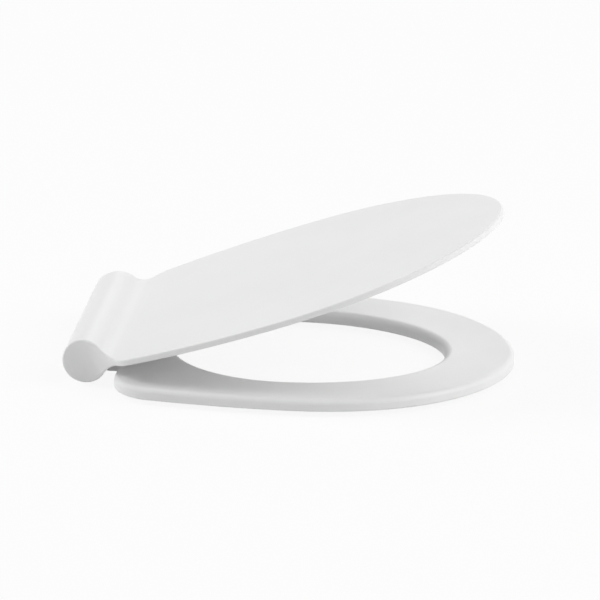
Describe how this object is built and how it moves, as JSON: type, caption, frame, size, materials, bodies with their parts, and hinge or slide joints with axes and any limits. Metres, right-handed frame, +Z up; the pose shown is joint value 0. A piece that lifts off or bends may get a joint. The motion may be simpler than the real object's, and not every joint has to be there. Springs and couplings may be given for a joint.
{
  "type": "toilet seat",
  "caption": "Slim toilet seat: flat oval ring with an open centre, and a thin lid that rolls into a full-width hinge barrel over soft-close hinge blocks that plug onto the pan's pillars.",
  "frame": {"origin": "on the pan's top plane, midway between the two pan fixings and straight under the hinge axis", "axes": "+X to the right seen from the front, -Y to the front tip, +Z up from the pan"},
  "size_m": [0.36, 0.4418, 0.1683],
  "materials": {
    "white_moulding": "gloss",
    "buffer_rubber": "matt",
    "block_plastic": "matt",
    "bearing_plastic": "satin",
    "damper_plastic": "satin",
    "steel": "satin"
  },
  "bodies": {
    "base": {"hinge_block_left": "block_plastic", "hinge_block_right": "block_plastic", "pan_sleeve_left": "bearing_plastic", "pan_sleeve_right": "bearing_plastic", "lid_damper_shaft": "steel", "seat_damper_shaft": "steel", "lid_pivot_pin": "steel", "seat_pivot_pin": "steel", "thrust_washer_inner_left": "bearing_plastic", "thrust_washer_inner_right": "bearing_plastic", "thrust_washer_outer_left": "bearing_plastic", "thrust_washer_outer_right": "bearing_plastic"},
    "ring": {"seat_ring": "white_moulding", "seat_damper_body": "damper_plastic", "seat_pivot_bush": "bearing_plastic", "seat_buffer_front_left": "buffer_rubber", "seat_buffer_front_right": "buffer_rubber", "seat_buffer_rear_left": "buffer_rubber", "seat_buffer_rear_right": "buffer_rubber"},
    "lid": {"lid": "white_moulding", "lid_damper_body": "damper_plastic", "lid_pivot_bush": "bearing_plastic", "lid_buffer_front_left": "buffer_rubber", "lid_buffer_front_right": "buffer_rubber", "lid_buffer_rear_left": "buffer_rubber", "lid_buffer_rear_right": "buffer_rubber"}
  },
  "joints": [
    {"name": "seat_hinge", "type": "hinge", "parent": "base", "child": "ring", "pos_m": [0, 0, 0.0266], "axis": [-1, 0, 0], "range_deg": [0, 95]},
    {"name": "lid_hinge", "type": "hinge", "parent": "ring", "child": "lid", "pos_m": [0, 0, 0.0266], "axis": [-1, 0, 0], "range_deg": [-19.5, 78.5]}
  ]
}
